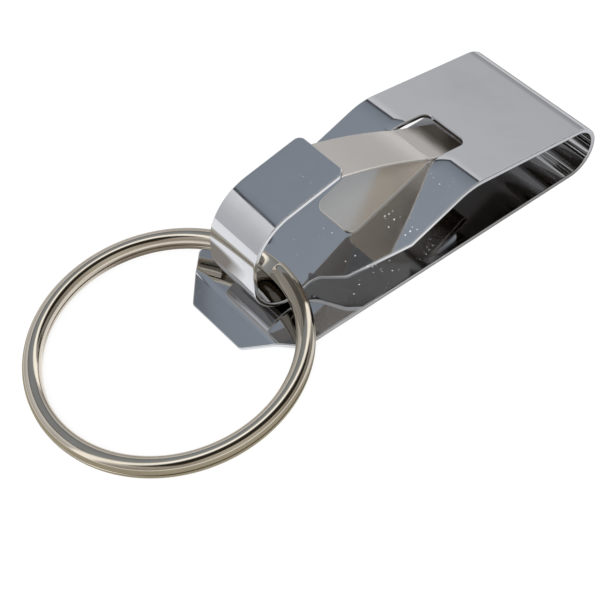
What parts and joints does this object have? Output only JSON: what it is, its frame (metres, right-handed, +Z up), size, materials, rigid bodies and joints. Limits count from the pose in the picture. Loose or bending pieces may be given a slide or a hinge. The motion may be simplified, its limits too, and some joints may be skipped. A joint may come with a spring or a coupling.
{
  "type": "belt key clip",
  "caption": "Folded spring steel belt clip with a hook, a spring leaf gate across the hook's mouth, and a split key ring held in the hook.",
  "frame": {"origin": "on the surface that the clip lies on, below the middle of its whole length from the fold to the far rim of the ring and below the middle of the ring's width, so that the middle line of the strip is 0.6 mm to +Y of it", "axes": "+X along the strip from the ring to the fold, +Y across the strip, +Z up from the surface, from the back plate to the front plate"},
  "size_m": [0.073, 0.0322, 0.0169],
  "materials": {
    "clip_steel": "bright nickel-chrome plate on spring steel, mirror polished with bright cut edges",
    "leaf_steel": "satin spring steel, warm grey",
    "ring_steel": "bright nickel plate on spring steel wire"
  },
  "bodies": {
    "clip": {"clip_body": "clip_steel", "gate_anchor": "leaf_steel"},
    "gate": {"gate_leaf": "leaf_steel"},
    "ring": {"split_ring": "ring_steel"}
  },
  "joints": [
    {"name": "gate_press", "type": "hinge", "parent": "clip", "child": "gate", "pos_m": [0.01502, 0.0004, 0.01008], "axis": [0, -1, 0], "range_deg": [0, 36], "stiffness_Nm_per_rad": 0.15},
    {"name": "ring_swing", "type": "hinge", "parent": "clip", "child": "ring", "pos_m": [-0.00538, 0, 0.00459], "axis": [0, 1, 0], "range_deg": [-15, 170]}
  ]
}
